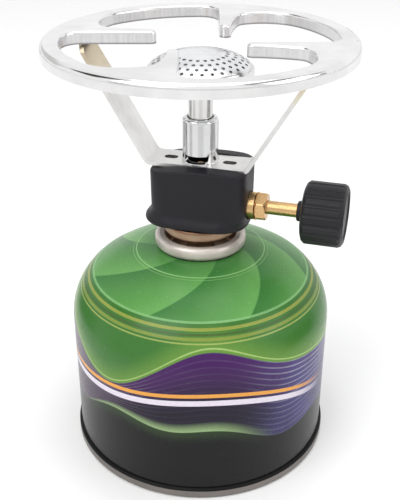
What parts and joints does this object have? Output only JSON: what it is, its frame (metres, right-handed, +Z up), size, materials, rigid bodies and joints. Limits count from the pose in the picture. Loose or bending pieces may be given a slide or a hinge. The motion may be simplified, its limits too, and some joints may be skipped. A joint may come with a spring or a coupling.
{
  "type": "canister-top gas stove",
  "caption": "Camping gas burner screwed on a low round gas cartridge, with a swirl-shaped pan support, a perforated burner head and a flame control knob.",
  "frame": {"origin": "centre of the cartridge's foot, on the surface it stands on", "axes": "+Z up through cartridge and burner, +X along the valve spindle towards the knob, +Y completing a right-handed frame; the bracket lies in the XZ plane"},
  "size_m": [0.116, 0.116, 0.1722],
  "materials": {
    "cartridge_paint": "gloss lacquer over tinplate",
    "seam_steel": "bare tinplate",
    "cup_steel": "bright rolled tinplate",
    "seal_rubber": "matt",
    "valve_plastic": "natural acetal",
    "spring_steel": "drawn wire",
    "adaptor_aluminium": "turned, bronze anodised",
    "brass": "turned, bright",
    "filter_bronze": "sintered",
    "black_plastic": "moulded, satin",
    "knob_plastic": "moulded, satin",
    "sleeve_steel": "polished, lightly heat tinted",
    "tube_steel": "drawn",
    "burner_steel": "pressed stainless",
    "bracket_steel": "satin stainless, heat tinted near the burner",
    "support_chrome": "bright plated"
  },
  "bodies": {
    "cartridge": {"cartridge_shell": "cartridge_paint", "cartridge_base": "seam_steel", "valve_cup": "cup_steel", "cup_gasket": "seal_rubber", "valve_housing": "valve_plastic", "valve_seal": "seal_rubber", "valve_spring": "spring_steel"},
    "plunger": {"valve_plunger": "valve_plastic"},
    "thread_carrier": {"adaptor_gasket": "seal_rubber"},
    "burner": {"adaptor": "adaptor_aluminium", "pusher_pin": "brass", "valve_block": "brass", "jet": "brass", "jet_filter": "filter_bronze", "body_cover": "black_plastic", "gland_nut": "brass", "burner_sleeve": "sleeve_steel", "mixing_tube": "tube_steel", "burner_bowl": "burner_steel", "burner_cap": "burner_steel", "bracket": "bracket_steel", "pan_support": "support_chrome"},
    "spindle_carrier": {"spindle_o_ring": "seal_rubber"},
    "spindle": {"spindle": "brass", "knob": "knob_plastic"}
  },
  "joints": [
    {"name": "burner_rise", "type": "slide", "parent": "cartridge", "child": "thread_carrier", "axis": [0, 0, 1], "range_m": [0, 0.00455]},
    {"name": "burner_unscrew", "type": "hinge", "parent": "thread_carrier", "child": "burner", "pos_m": [0, 0, 0.1], "axis": [0, 0, 1], "range_deg": [0, 1800]},
    {"name": "plunger_travel", "type": "slide", "parent": "cartridge", "child": "plunger", "axis": [0, 0, 1], "range_m": [0, 0.00115], "deforming": ["valve_spring"]},
    {"name": "spindle_travel", "type": "slide", "parent": "burner", "child": "spindle_carrier", "axis": [1, 0, 0], "range_m": [0, 0.00118]},
    {"name": "knob_turn", "type": "hinge", "parent": "spindle_carrier", "child": "spindle", "pos_m": [0, 0, 0.1075], "axis": [1, 0, 0], "range_deg": [0, 540]}
  ],
  "couplings": [
    {"joint": "burner_rise", "follows": "burner_unscrew", "m_per_rad": 0.00014437},
    {"joint": "plunger_travel", "follows": "burner_unscrew", "m_per_rad": 0.0000363},
    {"joint": "spindle_travel", "follows": "knob_turn", "m_per_rad": 0.00012}
  ]
}
